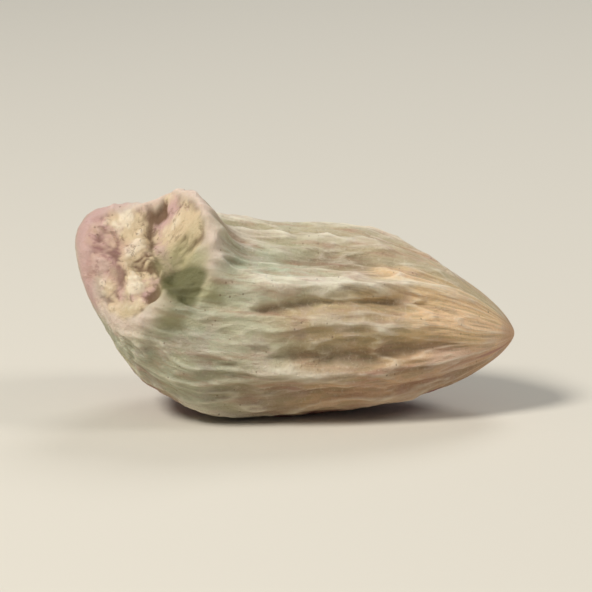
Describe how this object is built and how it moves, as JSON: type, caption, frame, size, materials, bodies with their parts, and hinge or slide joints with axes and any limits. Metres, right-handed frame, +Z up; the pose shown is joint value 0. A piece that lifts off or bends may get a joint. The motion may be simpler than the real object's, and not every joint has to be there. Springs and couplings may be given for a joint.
{
  "type": "pistachio kernel",
  "caption": "Shelled nut kernel lying on its side: a long seed in ridged, wrinkled skin, with a blunt scarred end and a pointed tip.",
  "frame": {"origin": "on the flat spot that the kernel rests on, below the middle of its box", "axes": "+X along the kernel from its blunt scarred end to its tip, -Y towards the side with the scar, +Z up"},
  "size_m": [0.0182, 0.0092, 0.0095],
  "materials": {
    "skin": "matte"
  },
  "bodies": {
    "root": {"kernel": "skin"}
  },
  "joints": []
}
